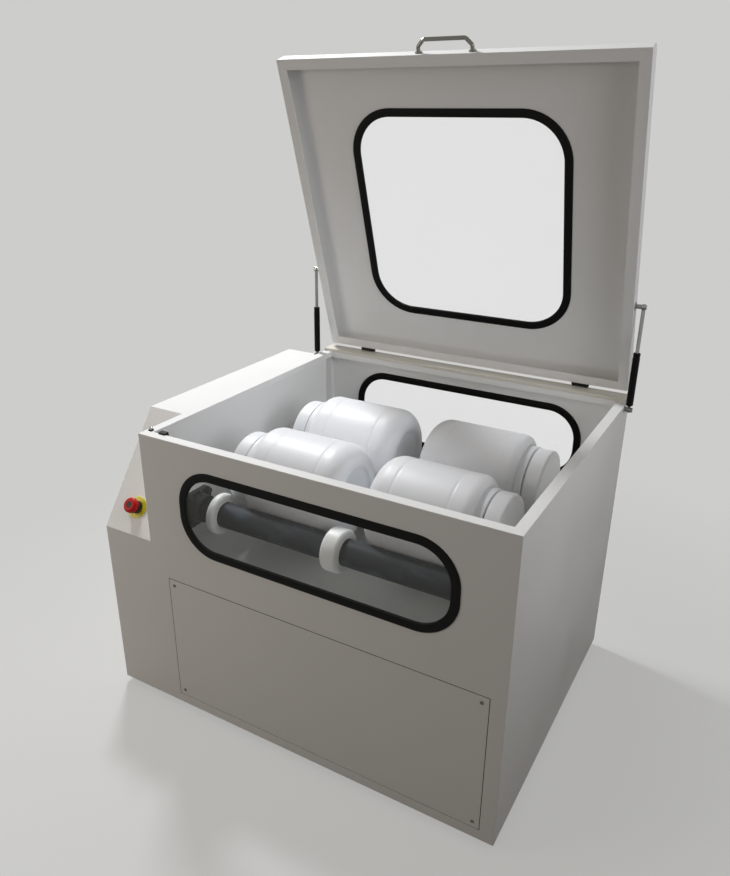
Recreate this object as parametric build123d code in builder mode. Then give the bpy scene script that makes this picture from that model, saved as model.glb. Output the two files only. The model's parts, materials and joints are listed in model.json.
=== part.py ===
# Roller jar mill: a sheet metal cabinet with a hinged window lid, a row of three rollers that
# turns four screw-cap jars, and a drive box on the left side.
# Millimetres, +Z up, the front faces -Y. The origin is on the floor under the middle of the mill.
from math import atan2, cos, hypot, radians, sin, sqrt, tan
import os

from build123d import *

# Cabinet
cab_width = 1000.0
cab_depth = 885.0
cab_height = 818.0
sheet = 2.0
rim_width = 27.0
rim_lip = 18.0
foot_height = 20.0
post_size = 20.0
base_tube = 40.0
floor_level = 440.0

# Drive box on the left side, with its sloping control panel
box_width = 164.0
box_step = 26.0
box_height = cab_height - box_step
slope_start = 509.0
slope_depth = 209.0

# Windows: a rubber profile with two grooves holds the sheet outside and the pane inside
window_width = 763.0
window_height = 239.0
window_radius = 105.0
front_window_level = 638.5
rear_window_level = 648.0
gasket_width = 22.0
gasket_lip = 9.0
gasket_proud = 4.0
gasket_chamfer = 2.0
pane_thick = 5.0

# Access panel in the lower front
access_width = 908.0
access_height = 381.0
access_offset = 8.0
access_level = 220.5
access_gap = 1.5
access_ledge = 14.0
access_screw_inset = 17.0
access_screw_radius = 4.5

# Lid, drawn open
lid_open = 72.3
lid_width = 980.0
lid_length = 891.0
lid_height = 38.0
lid_gap = 11.0
lid_flange = 27.0
lid_bend = 3.0
lid_window_width = 628.0
lid_window_length = 619.0
lid_window_radius = 130.0
lid_to_hinge = 7.5

# Raised rail behind the rim, which carries the hinges
rail_top = 10.0
rail_back = 21.0
rail_drop = 20.0

# Hinges
hinge_back = 16.5
hinge_up = 16.5
hinge_offset = 355.0
hinge_length = 46.0
hinge_barrel = 6.0
hinge_pin = 3.0
hinge_leaf = 3.0
hinge_leaf_height = 26.0
hinge_play = 0.3
pin_clearance = 0.05

# Handle on the front edge of the lid
handle_span = 143.0
handle_reach = 35.0
handle_rod = 5.0
handle_corner = 16.0
handle_boss = 9.0
handle_boss_thick = 3.0

# Gas struts
strut_offset = 12.0
strut_low_back = 53.0
strut_low_drop = 10.0
strut_lid_along = 267.7
strut_lid_up = 14.6
strut_tube = 9.5
strut_tube_start = 12.0
strut_tube_length = 150.0
strut_rod = 5.0
strut_bore = 5.3
strut_eye = 8.0
strut_eye_thick = 8.0
strut_stud = 4.0
strut_head = 6.5
strut_head_thick = 4.0
strut_plate = 11.0
strut_plate_thick = 2.0
strut_spacer = 6.0
strut_play = 0.3
strut_bolt_radius = 5.0
strut_bolt_head = 3.5
strut_bolt_back = 18.0
strut_bolt_drop = 3.0

# Rollers
roller_radius = 34.0
roller_pitch = 290.0
roller_level = 572.0
front_roller_back = 127.0
shaft_radius = 15.0
sleeve_inset = 100.0
collar_radius = 56.0
collar_width = 24.0
middle_collar_width = 46.0
middle_collar_shift = 6.0
collar_inset = 130.0
collar_round = 7.0

# Flange bearings and the rails that they are bolted to
rail_depth = 50.0
rail_height = 104.0
bearing_flange = 96.0
bearing_flange_thick = 14.0
bearing_hub = 40.0
bearing_hub_length = 40.0
bearing_corner = 16.0
bearing_clearance = 0.05
bearing_bolt_radius = 8.0
bearing_bolt_height = 9.0
bearing_bolt_spacing = 72.0
nipple_radius = 3.5
nipple_height = 11.0

# Jars
jar_radius = 129.5
jar_body = 273.0
jar_wall = 5.0
jar_bottom_round = 45.0
jar_shoulder_round = 24.0
jar_neck_band = 104.0
jar_neck_band_length = 20.0
jar_neck_radius = 90.0
jar_neck_length = 57.0
jar_ring_depth = 2.0
jar_ring_width = 5.0
jar_ring_inset = 67.0
jar_upper_ring_inset = 58.0
jar_roller_gap = 0.3
cap_gap = 4.0
cap_radius = 102.0
cap_length = 42.0
cap_thick = 4.7
cap_play = 0.5
cap_round = 8.0
left_jar_bottom = 471.0
right_jar_bottom = 549.0

# Belt drive
motor_pulley_radius = 40.0
roller_pulley_radius = 64.0
pulley_width = 20.0
pulley_offset = 55.0
belt_width = 10.0
belt_thick = 8.0
groove_depth = 7.0
groove_play = 0.3
motor_level = 190.0
motor_shaft_radius = 12.0
motor_radius = 62.0
motor_length = 190.0
motor_fin_height = 7.0
motor_fin_count = 20
gearbox_size = 130.0
gearbox_length = 90.0
motor_fin_start = 20.0
motor_fin_end = 40.0
terminal_start = 40.0
terminal_size = 70.0
terminal_height = 38.0

# Control box in the drive box, behind the belt
control_width = 100.0
control_height = 270.0
control_level = 330.0
control_to_pulley = 79.0
control_to_rear = 85.0

# Emergency stop on the sloping panel
estop_along = 73.5
estop_ring_radius = 30.0
estop_ring_thick = 2.0
estop_collar_radius = 18.0
estop_collar_height = 12.0
estop_head_radius = 21.0
estop_head_height = 16.0
estop_travel = 5.0
estop_barrel = 11.0
estop_stem = 7.0

# Lid rest on the rim, with its rubber ring, and the block of the lid sensor
rest_inset = 13.5
rest_back = 32.0
rest_radius = 4.0
rest_height = 10.0
ring_radius = 7.0
ring_height = 2.5
sensor_inset = 46.0
sensor_width = 22.0
sensor_thick = 10.0
sensor_height = 16.0
sensor_rise = 5.0

# Levelling feet
foot_radius = 19.0
foot_inset = 35.0
foot_pad = 10.0
foot_stem = 6.0

# Places worked out from the sizes above
open_turn = radians(lid_open)
lid_inner = lid_gap - hinge_up
lid_outer = lid_inner + lid_height
lid_middle = -lid_to_hinge - lid_length / 2
lid_corner = lid_outer * sin(open_turn) - (lid_to_hinge + lid_bend / 2) * cos(open_turn)
back_reach = hinge_back + lid_corner
strut_reach = strut_offset + strut_tube
overall_width = box_width + cab_width + strut_reach
overall_depth = gasket_proud + cab_depth + back_reach

x_box = -overall_width / 2
x_left = x_box + box_width
x_right = x_left + cab_width
x_mid = (x_left + x_right) / 2
y_front = -overall_depth / 2 + gasket_proud
y_back = y_front + cab_depth
z_base = foot_height
z_rim = z_base + cab_height
z_box = z_base + box_height
z_slope = z_base + slope_start
z_floor = z_base + floor_level
z_roller = z_base + roller_level
y_rollers = [y_front + front_roller_back + i * roller_pitch for i in range(3)]
roller_names = ["front", "middle", "rear"]
jar_drop = jar_radius + roller_radius + jar_roller_gap
z_jar = z_roller + sqrt(jar_drop**2 - (roller_pitch / 2) ** 2)
y_jars = {"front": y_rollers[0] + roller_pitch / 2, "rear": y_rollers[1] + roller_pitch / 2}
z_motor = z_base + motor_level
y_motor = y_rollers[1]
x_pulley = x_left - pulley_offset

slope_angle = atan2(box_height - slope_start, slope_depth)
slope_normal = (0, -sin(slope_angle), cos(slope_angle))

y_hinge = y_back + hinge_back
z_hinge = z_rim + hinge_up
lid_normal = (0, sin(open_turn), cos(open_turn))
lid_plane = Plane(origin=(x_mid, y_hinge, z_hinge), x_dir=(1, 0, 0), z_dir=lid_normal)

os.makedirs("parts", exist_ok=True)


def save(builder, name):
    builder.part.label = name
    export_step(builder.part, "parts/" + name + ".step")


def block(x0, x1, y0, y1, z0, z1, mode=Mode.ADD):
    # A box between two corners.
    with Locations(((x0 + x1) / 2, (y0 + y1) / 2, (z0 + z1) / 2)):
        Box(x1 - x0, y1 - y0, z1 - z0, mode=mode)


def rod_x(x0, x1, y, z, radius, mode=Mode.ADD):
    # A round bar along X.
    with BuildSketch(Plane(origin=(x0, y, z), x_dir=(0, 1, 0), z_dir=(1, 0, 0))) as disc:
        Circle(radius)
    extrude(disc.sketch, amount=x1 - x0, mode=mode)


# Frame: base ring, cross members, corner posts, floor ledges and the two bearing rails
def make_base_frame():
    x0, x1 = x_box + sheet, x_right - sheet
    y0, y1 = y_front + 2 * sheet, y_back - sheet
    z0, z1 = z_base, z_base + base_tube
    inner_left = x_left + sheet
    with BuildPart() as base_frame:
        block(x0, x1, y0, y1, z0, z1)
        block(x0 + base_tube, x1 - base_tube, y0 + base_tube, y1 - base_tube, z0, z1, Mode.SUBTRACT)
        for side in (-1, 1):
            yc = y_motor + side * gearbox_size / 2
            block(x0 + base_tube / 2, x1 - base_tube / 2, yc - base_tube / 2, yc + base_tube / 2, z0, z1)
        for px in (inner_left, x1 - post_size):
            for py in (y0, y1 - post_size):
                block(px, px + post_size, py, py + post_size, z1, z_rim - sheet)
            block(px, px + post_size, y0, y1, z_floor - sheet - post_size, z_floor - sheet)
        for px in (inner_left, x1 - rail_depth):
            block(px, px + rail_depth, y0, y1, z_roller - rail_height / 2, z_roller + rail_height / 2)
        rod_x(x_left, x_left + 2 * rail_depth, y_rollers[1], z_roller, shaft_radius + 6, Mode.SUBTRACT)
        plate = motor_length + gearbox_length + base_tube
        block(inner_left + post_size, inner_left + plate, y_motor - gearbox_size / 2,
              y_motor + gearbox_size / 2, z1, z1 + 6)
    save(base_frame, "base_frame")


def window_cut(plane, width, height, radius):
    # The opening in a sheet that the rubber profile clips into.
    with BuildSketch(plane.offset(-2 * sheet)) as opening:
        RectangleRounded(width - 2 * gasket_lip, height - 2 * gasket_lip, radius - gasket_lip)
    extrude(opening.sketch, amount=3 * sheet, mode=Mode.SUBTRACT)


def make_window(plane, width, height, radius, name):
    # The plane lies on the outer face of the sheet, at the middle of the window, facing out.
    deep = sheet + gasket_proud
    pane_edge = gasket_width - gasket_lip
    pane_face = (pane_thick - sheet) / 2
    with BuildPart() as gasket:
        with BuildSketch(plane.offset(-deep)):
            RectangleRounded(width, height, radius)
            RectangleRounded(width - 2 * gasket_width, height - 2 * gasket_width,
                             radius - gasket_width, mode=Mode.SUBTRACT)
        extrude(amount=deep + gasket_proud)
        outward = Axis(plane.origin, plane.z_dir)
        rims = gasket.faces().sort_by(outward)
        chamfer(rims[-1].edges() + rims[0].edges(), gasket_chamfer)
        with BuildSketch(plane.offset(-sheet)):
            RectangleRounded(width + 2, height + 2, radius + 1)
            RectangleRounded(width - 2 * gasket_lip, height - 2 * gasket_lip, radius - gasket_lip,
                             mode=Mode.SUBTRACT)
        extrude(amount=sheet, mode=Mode.SUBTRACT)
        with BuildSketch(plane.offset(pane_face - pane_thick)):
            RectangleRounded(width - 2 * pane_edge, height - 2 * pane_edge, radius - pane_edge)
        extrude(amount=pane_thick, mode=Mode.SUBTRACT)
    save(gasket, name + "_window_gasket")
    with BuildPart() as pane:
        with BuildSketch(plane.offset(pane_face - pane_thick)):
            RectangleRounded(width - 2 * pane_edge, height - 2 * pane_edge, radius - pane_edge)
        extrude(amount=pane_thick)
    save(pane, name + "_window_pane")


front_window = Plane(origin=(x_mid, y_front, z_base + front_window_level), x_dir=(1, 0, 0),
                     z_dir=(0, -1, 0))
rear_window = Plane(origin=(x_mid, y_back, z_base + rear_window_level), x_dir=(-1, 0, 0),
                    z_dir=(0, 1, 0))
x_access = x_mid + access_offset
z_access = z_base + access_level


# Outer sheets: the front and the rear one each run across the cabinet and the drive box
def make_front_panel():
    with BuildPart() as front_panel:
        block(x_box, x_right, y_front, y_front + sheet, z_base, z_slope)
        block(x_left, x_right, y_front, y_front + sheet, z_slope, z_rim - sheet)
        window_cut(front_window, window_width, window_height, window_radius)
        half_w, half_h = access_width / 2 + access_gap, access_height / 2 + access_gap
        block(x_access - half_w, x_access + half_w, y_front, y_front + sheet,
              z_access - half_h, z_access + half_h, Mode.SUBTRACT)
        edge = access_ledge / 2
        block(x_access - half_w - edge, x_access + half_w + edge, y_front + sheet, y_front + 2 * sheet,
              z_access - half_h - edge, z_access + half_h + edge)
        edge = access_gap - access_screw_inset - access_ledge
        block(x_access - half_w - edge, x_access + half_w + edge, y_front + sheet, y_front + 2 * sheet,
              z_access - half_h - edge, z_access + half_h + edge, Mode.SUBTRACT)
    save(front_panel, "front_panel")


def access_screw_places():
    return [(x_access + sx * (access_width / 2 - access_screw_inset),
             z_access + sz * (access_height / 2 - access_screw_inset))
            for sx in (-1, 1) for sz in (-1, 1)]


def make_access_panel():
    with BuildPart() as access_panel:
        with BuildSketch(Plane(origin=(x_access, y_front + sheet, z_access), x_dir=(1, 0, 0),
                               z_dir=(0, -1, 0))):
            RectangleRounded(access_width, access_height, 3)
        extrude(amount=sheet)
    save(access_panel, "access_panel")
    with BuildPart() as screws:
        for x, z in access_screw_places():
            with BuildSketch(Plane(origin=(x, y_front, z), x_dir=(1, 0, 0), z_dir=(0, -1, 0))):
                Circle(access_screw_radius)
            extrude(amount=2.5, taper=25)
    save(screws, "access_panel_screws")


def make_side_sheets():
    with BuildPart() as right_panel:
        block(x_right - sheet, x_right, y_front + sheet, y_back - sheet, z_base, z_rim - sheet)
    save(right_panel, "right_panel")
    with BuildPart() as partition_wall:
        block(x_left, x_left + sheet, y_front + sheet, y_back - sheet, z_base + base_tube, z_rim - sheet)
        rod_x(x_left, x_left + sheet, y_rollers[1], z_roller, shaft_radius + 6, Mode.SUBTRACT)
        rod_x(x_left, x_left + sheet, y_motor, z_motor, motor_shaft_radius + 12, Mode.SUBTRACT)
        notch = z_access + access_height / 2 + 2 * access_ledge
        block(x_left, x_left + sheet, y_front + sheet, y_front + 2 * sheet, z_base, notch, Mode.SUBTRACT)
    save(partition_wall, "partition_wall")


# Cable gland in the rear of the drive box and the louvres above it
gland_hole = 8.0
gland_bore = 5.0
gland_nut = 13.0
x_gland = x_box + box_width / 2
gland_level = 90.0
z_gland = z_base + gland_level
louvre_count = 6
louvre_length = 90.0
louvre_height = 5.0
louvre_pitch = 16.0
louvre_drop = 120.0


def make_rear_panel():
    with BuildPart() as rear_panel:
        block(x_box, x_left, y_back - sheet, y_back, z_base, z_box - sheet)
        block(x_left, x_right, y_back - sheet, y_back, z_base, z_rim - sheet)
        window_cut(rear_window, window_width, window_height, window_radius)
        with BuildSketch(Plane(origin=(x_gland, y_back, z_gland), x_dir=(-1, 0, 0), z_dir=(0, 1, 0))):
            Circle(gland_hole)
        extrude(amount=-sheet, mode=Mode.SUBTRACT)
        top_row = z_box - louvre_drop
        with BuildSketch(Plane(origin=(x_gland, y_back, top_row), x_dir=(-1, 0, 0), z_dir=(0, 1, 0))):
            for i in range(louvre_count):
                with Locations((0, -i * louvre_pitch)):
                    SlotOverall(louvre_length, louvre_height)
        extrude(amount=-sheet, mode=Mode.SUBTRACT)
    save(rear_panel, "rear_panel")
    with BuildPart() as cable_gland:
        with BuildSketch(Plane(origin=(x_gland, y_back - sheet - 8, z_gland), x_dir=(-1, 0, 0),
                               z_dir=(0, 1, 0))):
            Circle(gland_hole)
        extrude(amount=sheet + 8 + 4)
        with BuildSketch(Plane(origin=(x_gland, y_back, z_gland), x_dir=(-1, 0, 0), z_dir=(0, 1, 0))):
            RegularPolygon(gland_nut, 6)
        extrude(amount=6)
        with BuildSketch(Plane(origin=(x_gland, y_back + 6, z_gland), x_dir=(-1, 0, 0),
                               z_dir=(0, 1, 0))):
            Circle(gland_nut - 2)
        extrude(amount=14, taper=12)
        with BuildSketch(Plane(origin=(x_gland, y_back - sheet - 6, z_gland), x_dir=(-1, 0, 0),
                               z_dir=(0, 1, 0))):
            RegularPolygon(gland_nut - 1, 6)
        extrude(amount=6)
        with BuildSketch(Plane(origin=(x_gland, y_back - sheet - 8, z_gland), x_dir=(-1, 0, 0),
                               z_dir=(0, 1, 0))):
            Circle(gland_bore)
        extrude(amount=sheet + 8 + 20, mode=Mode.SUBTRACT)
    save(cable_gland, "cable_gland")


def make_rim_frame():
    with BuildPart() as rim_frame:
        block(x_left, x_right, y_front, y_back, z_rim - sheet, z_rim)
        e = rim_width - sheet
        block(x_left + e, x_right - e, y_front + e, y_back - e, z_rim - rim_lip, z_rim)
        e = rim_width
        block(x_left + e, x_right - e, y_front + e, y_back - e, z_rim - rim_lip, z_rim, Mode.SUBTRACT)
    save(rim_frame, "rim_frame")
    # The folded rail lies on the rim's rear side and steps down behind the rear sheet.
    y0, y1 = y_back - rim_width, y_back + rail_back
    top, low = z_rim + rail_top, z_rim - rail_drop
    with BuildPart() as hinge_rail:
        block(x_left, x_right, y0, y1, z_rim, top)
        block(x_left, x_right, y_back, y1, low, top)
        block(x_left + sheet, x_right - sheet, y0 + sheet, y1 - sheet, z_rim, top - sheet, Mode.SUBTRACT)
        block(x_left + sheet, x_right - sheet, y_back, y1 - sheet, low + sheet, top - sheet,
              Mode.SUBTRACT)
    save(hinge_rail, "hinge_rail")


def make_chamber_floor():
    # A tray with turned-up edges, notched round the corner posts.
    x0, x1 = x_left + sheet, x_right - sheet
    y0, y1 = y_front + 2 * sheet, y_back - sheet
    turn_up = 14.0
    with BuildPart() as chamber_floor:
        block(x0, x1, y0, y1, z_floor - sheet, z_floor + turn_up)
        block(x0 + sheet, x1 - sheet, y0 + sheet, y1 - sheet, z_floor, z_floor + turn_up, Mode.SUBTRACT)
        for px in (x0, x1 - post_size):
            for py in (y0, y1 - post_size):
                block(px, px + post_size, py, py + post_size, z_floor - sheet, z_floor + turn_up,
                      Mode.SUBTRACT)
    save(chamber_floor, "chamber_floor")


def box_profile(inset):
    # The side outline of the drive box, with its top and slope moved in by the inset.
    drop = inset / cos(slope_angle)
    top = z_box - inset
    back = slope_depth * (top - z_slope + drop) / (z_box - z_slope)
    if inset == 0:
        return [(y_front, z_base), (y_front, z_slope), (y_front + slope_depth, z_box),
                (y_back - sheet, z_box), (y_back - sheet, z_base)]
    low = -10.0
    start = z_slope - drop + low * tan(slope_angle)
    return [(y_front + low, z_base - 1), (y_front + low, start), (y_front + back, top),
            (y_back + 1, top), (y_back + 1, z_base - 1)]


estop_x = x_box + box_width / 2
estop_plane = Plane(origin=(estop_x, y_front + estop_along * cos(slope_angle),
                            z_slope + estop_along * sin(slope_angle)),
                    x_dir=(1, 0, 0), z_dir=slope_normal)


def make_drive_cover():
    # One folded sheet: the left side, the top and the sloping control panel.
    side_view = Plane(origin=(x_box, 0, 0), x_dir=(0, 1, 0), z_dir=(1, 0, 0))
    with BuildPart() as drive_cover:
        with BuildSketch(side_view):
            with BuildLine():
                Polyline(*box_profile(0), close=True)
            make_face()
        extrude(amount=box_width)
        with BuildSketch(side_view.offset(sheet)):
            with BuildLine():
                Polyline(*box_profile(sheet), close=True)
            make_face()
        extrude(amount=box_width, mode=Mode.SUBTRACT)
        block(x_box, x_left, y_front, y_front + sheet, z_base, z_slope, Mode.SUBTRACT)
        with BuildSketch(estop_plane.offset(-3 * sheet)):
            Circle(estop_barrel)
        extrude(amount=6 * sheet, mode=Mode.SUBTRACT)
    save(drive_cover, "drive_cover")


# Lid
def make_lid():
    top_plane = lid_plane.offset(lid_outer)
    window = Plane(origin=lid_plane.from_local_coords((0, lid_middle, lid_outer)), x_dir=(1, 0, 0),
                   z_dir=lid_normal)
    with BuildPart() as lid_shell:
        with BuildSketch(top_plane):
            with Locations((0, lid_middle)):
                RectangleRounded(lid_width, lid_length, lid_bend)
        extrude(amount=-lid_height)
        chamfer(lid_shell.faces().sort_by(Axis(window.origin, window.z_dir))[-1].edges(), lid_bend / 2)
        with BuildSketch(top_plane.offset(-sheet)):
            with Locations((0, lid_middle)):
                Rectangle(lid_width - 2 * sheet, lid_length - 2 * sheet)
        extrude(amount=-(lid_height - 2 * sheet), mode=Mode.SUBTRACT)
        with BuildSketch(lid_plane.offset(lid_inner)):
            with Locations((0, lid_middle)):
                Rectangle(lid_width - 2 * lid_flange, lid_length - 2 * lid_flange)
        extrude(amount=sheet, mode=Mode.SUBTRACT)
        window_cut(window, lid_window_width, lid_window_length, lid_window_radius)
    save(lid_shell, "lid_shell")
    make_window(window, lid_window_width, lid_window_length, lid_window_radius, "lid")


def make_handle():
    # A bent round bar with cut corners, on two bosses at the front wall of the lid.
    wall = -lid_to_hinge - lid_length
    level = (lid_inner + lid_outer) / 2
    grip = Plane(origin=lid_plane.from_local_coords((0, 0, level)), x_dir=(1, 0, 0), z_dir=lid_normal)
    half = handle_span / 2
    top = wall - handle_reach + handle_rod
    path_points = [(-half, wall), (-half, top + handle_corner), (-half + handle_corner, top),
                   (half - handle_corner, top), (half, top + handle_corner), (half, wall)]
    with BuildPart() as lid_handle:
        with BuildLine(grip) as path:
            FilletPolyline(*path_points, radius=handle_rod)
        start = path.line @ 0
        with BuildSketch(Plane(origin=start, x_dir=(1, 0, 0), z_dir=path.line % 0)):
            Circle(handle_rod)
        sweep()
        for side in (-1, 1):
            foot = grip.from_local_coords((side * half, wall, 0))
            with BuildSketch(Plane(origin=foot, x_dir=(1, 0, 0), z_dir=path.line % 0)):
                Circle(handle_boss)
            extrude(amount=handle_boss_thick)
    save(lid_handle, "lid_handle")
    with BuildPart() as screws:
        for side in (-1, 1):
            head = grip.from_local_coords((side * half, wall + sheet, 0))
            with BuildSketch(Plane(origin=head, x_dir=(1, 0, 0), z_dir=-(path.line % 0))):
                RegularPolygon(handle_rod + 1, 6)
            extrude(amount=4)
    save(screws, "handle_screws")


def make_hinges():
    # Each hinge has a fixed leaf with two outer knuckles and its pin, and a lid leaf with one knuckle.
    third = hinge_length / 3
    centres = [x_mid - hinge_offset, x_mid + hinge_offset]
    with BuildPart() as brackets:
        for xc in centres:
            x0 = xc - hinge_length / 2
            side = Plane(origin=(x0, y_hinge, z_hinge), x_dir=(0, 1, 0), z_dir=(1, 0, 0))
            face = rail_back - hinge_back
            low = rail_top - hinge_up - hinge_leaf_height
            with BuildSketch(side):
                with BuildLine():
                    Polyline((face, low), (face + hinge_leaf, low), (face + hinge_leaf, -3),
                             (hinge_barrel, 0), (0, 0), (face, -hinge_barrel + 1), close=True)
                make_face()
                Circle(hinge_barrel)
            extrude(amount=hinge_length)
            block(x0 + third, x0 + 2 * third, y_hinge - 2 * hinge_barrel, y_hinge + 2 * hinge_barrel,
                  z_hinge - hinge_barrel - 1, z_hinge + 2 * hinge_barrel, Mode.SUBTRACT)
            rod_x(x0 - 2, x0 + hinge_length + 2, y_hinge, z_hinge, hinge_pin)
    save(brackets, "hinge_brackets")
    with BuildPart() as leaves:
        for xc in centres:
            inner = lid_plane.from_local_coords((xc - x_mid - third / 2 + hinge_play, 0, 0))
            side = Plane(origin=inner, x_dir=lid_plane.y_dir, z_dir=(1, 0, 0))
            wall = -lid_to_hinge
            with BuildSketch(side):
                with BuildLine():
                    Polyline((wall, hinge_barrel + 1), (wall, hinge_barrel + 9),
                             (wall + hinge_leaf, hinge_barrel + 9), (0, hinge_barrel), (0, 0),
                             (-hinge_barrel, 0), close=True)
                make_face()
                Circle(hinge_barrel)
                Circle(hinge_pin + pin_clearance, mode=Mode.SUBTRACT)
            extrude(amount=third - 2 * hinge_play)
            plate = lid_plane.from_local_coords((xc - x_mid - hinge_length / 2, 0, 0))
            with BuildSketch(Plane(origin=plate, x_dir=lid_plane.y_dir, z_dir=(1, 0, 0))):
                with Locations((wall + hinge_leaf / 2, hinge_barrel + 1.5 + hinge_leaf_height / 2 - 1.5)):
                    Rectangle(hinge_leaf, hinge_leaf_height - 3)
            extrude(amount=hinge_length)
    save(leaves, "hinge_leaves")


# Gas struts, one on each side
y_strut_low = y_back - strut_low_back
z_strut_low = z_rim - strut_low_drop
strut_top = lid_plane.from_local_coords((0, -strut_lid_along, strut_lid_up))
strut_dy = strut_top.Y - y_strut_low
strut_dz = strut_top.Z - z_strut_low
strut_open = hypot(strut_dy, strut_dz)


def make_struts():
    aim = (0, strut_dy / strut_open, strut_dz / strut_open)
    closed = hypot(y_hinge - strut_lid_along - y_strut_low, z_hinge + strut_lid_up - z_strut_low)
    stroke = strut_open - closed
    rod_start = strut_tube_start + 16 + stroke
    with BuildPart() as brackets:
        for wall, out in ((x_left, -1), (x_right, 1)):
            eye_start = strut_offset - strut_eye_thick / 2 - strut_play
            eye_end = strut_offset + strut_eye_thick / 2 + strut_play
            for reach, radius in ((strut_plate_thick, strut_plate - 1.5), (eye_start, strut_spacer),
                                  (eye_end, strut_stud)):
                rod_x(min(wall, wall + out * reach), max(wall, wall + out * reach), y_strut_low,
                      z_strut_low, radius)
            head = wall + out * eye_end
            end = wall + out * strut_reach
            rod_x(min(head, end), max(head, end), y_strut_low, z_strut_low, strut_head)
            inner = wall - out * sheet
            end = inner - out * strut_bolt_head
            rod_x(min(inner, end), max(inner, end), y_strut_low + strut_bolt_back,
                  z_strut_low - strut_bolt_drop, strut_bolt_radius)
    save(brackets, "strut_brackets")
    with BuildPart() as studs:
        for out in (-1, 1):
            wall = x_mid + out * lid_width / 2
            end = x_mid + out * (cab_width / 2 + strut_offset - strut_eye_thick / 2 - strut_play)
            rod_x(min(wall, end), max(wall, end), strut_top.Y, strut_top.Z, strut_stud + 2)
            end = wall + out * strut_plate_thick
            rod_x(min(wall, end), max(wall, end), strut_top.Y, strut_top.Z, strut_plate)
    save(studs, "lid_studs")
    for name, x in (("left", x_left - strut_offset), ("right", x_right + strut_offset)):
        along = Plane(origin=(x, y_strut_low, z_strut_low), x_dir=(1, 0, 0), z_dir=aim)
        with BuildPart() as cylinder:
            with BuildSketch(along.offset(strut_tube_start)):
                Circle(strut_tube)
            extrude(amount=strut_tube_length)
            chamfer(cylinder.edges().filter_by(GeomType.CIRCLE), 1.5)
            with BuildSketch(along):
                Circle(4)
            extrude(amount=strut_tube_start + 2)
            rod_x(x - strut_eye_thick / 2, x + strut_eye_thick / 2, y_strut_low, z_strut_low, strut_eye)
            with BuildSketch(along.offset(strut_tube_start + 10)):
                Circle(strut_bore)
            extrude(amount=strut_tube_length, mode=Mode.SUBTRACT)
            rod_x(x - strut_eye_thick, x + strut_eye_thick, y_strut_low, z_strut_low,
                  strut_stud + pin_clearance, Mode.SUBTRACT)
        save(cylinder, name + "_strut_cylinder")
        with BuildPart() as rod:
            with BuildSketch(along.offset(rod_start)):
                Circle(strut_rod)
            extrude(amount=strut_open - rod_start - strut_eye + 1)
            rod_x(x - strut_eye_thick / 2, x + strut_eye_thick / 2, strut_top.Y, strut_top.Z, strut_eye)
            out = 1 if name == "right" else -1
            face = x + out * strut_eye_thick / 2
            end = face + out * (strut_head_thick - 1)
            with BuildSketch(Plane(origin=(min(face, end), strut_top.Y, strut_top.Z), x_dir=(0, 1, 0),
                                   z_dir=(1, 0, 0))):
                RegularPolygon(strut_head, 6)
            extrude(amount=strut_head_thick - 1)
        save(rod, name + "_strut_rod")


# Rollers
def make_rollers():
    with BuildPart() as housings:
        for y in y_rollers:
            for face, out in ((x_left + sheet + rail_depth, 1), (x_right - sheet - rail_depth, -1)):
                seat = Plane(origin=(face, y, z_roller), x_dir=(0, out, 0), z_dir=(out, 0, 0))
                with BuildSketch(seat):
                    RectangleRounded(bearing_flange, bearing_flange, bearing_corner)
                extrude(amount=bearing_flange_thick)
                with BuildSketch(seat.offset(bearing_flange_thick)):
                    Circle(bearing_hub)
                extrude(amount=bearing_hub_length - bearing_flange_thick, taper=6)
                spread = bearing_bolt_spacing / 2
                with BuildSketch(seat.offset(bearing_flange_thick)):
                    with GridLocations(2 * spread, 2 * spread, 2, 2):
                        RegularPolygon(bearing_bolt_radius, 6)
                extrude(amount=bearing_bolt_height)
                middle = face + out * (bearing_flange_thick + nipple_radius + 4)
                with BuildSketch(Plane(origin=(middle, y, z_roller), x_dir=(1, 0, 0), z_dir=(0, 0, 1))):
                    Circle(nipple_radius)
                extrude(amount=bearing_hub + nipple_height)
                with BuildSketch(seat):
                    Circle(shaft_radius + bearing_clearance)
                extrude(amount=bearing_hub_length, mode=Mode.SUBTRACT)
    save(housings, "bearing_housings")
    for name, y in zip(roller_names, y_rollers):
        start = x_pulley - pulley_width if name == "middle" else x_left + sheet + rail_depth + 4
        end = x_right - sheet - rail_depth - 4
        with BuildPart() as shaft:
            rod_x(start, end, y, z_roller, shaft_radius)
            chamfer(shaft.edges().filter_by(GeomType.CIRCLE), 1.5)
        save(shaft, name + "_roller_shaft")
        with BuildPart() as sleeve:
            rod_x(x_left + sleeve_inset, x_right - sleeve_inset, y, z_roller, roller_radius)
            chamfer(sleeve.edges().filter_by(GeomType.CIRCLE), 2)
            rod_x(x_left + sleeve_inset, x_right - sleeve_inset, y, z_roller, shaft_radius, Mode.SUBTRACT)
        save(sleeve, name + "_roller_sleeve")
        with BuildPart() as collars:
            for middle, width in ((x_left + collar_inset + collar_width / 2, collar_width),
                                  (x_mid + middle_collar_shift, middle_collar_width),
                                  (x_right - collar_inset - collar_width / 2, collar_width)):
                half = width / 2
                ring = Plane(origin=(middle, y, z_roller), x_dir=(1, 0, 0), z_dir=(0, -1, 0))
                with BuildSketch(ring):
                    with BuildLine():
                        Polyline((-half, roller_radius), (half, roller_radius), (half, collar_radius),
                                 (-half, collar_radius), close=True)
                    make_face()
                revolve(axis=Axis((middle, y, z_roller), (1, 0, 0)))
            rims = collars.edges().filter_by(GeomType.CIRCLE).filter_by(
                lambda e: abs(e.radius - collar_radius) < 0.01)
            fillet(rims, collar_round)
        save(collars, name + "_roller_collars")


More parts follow.
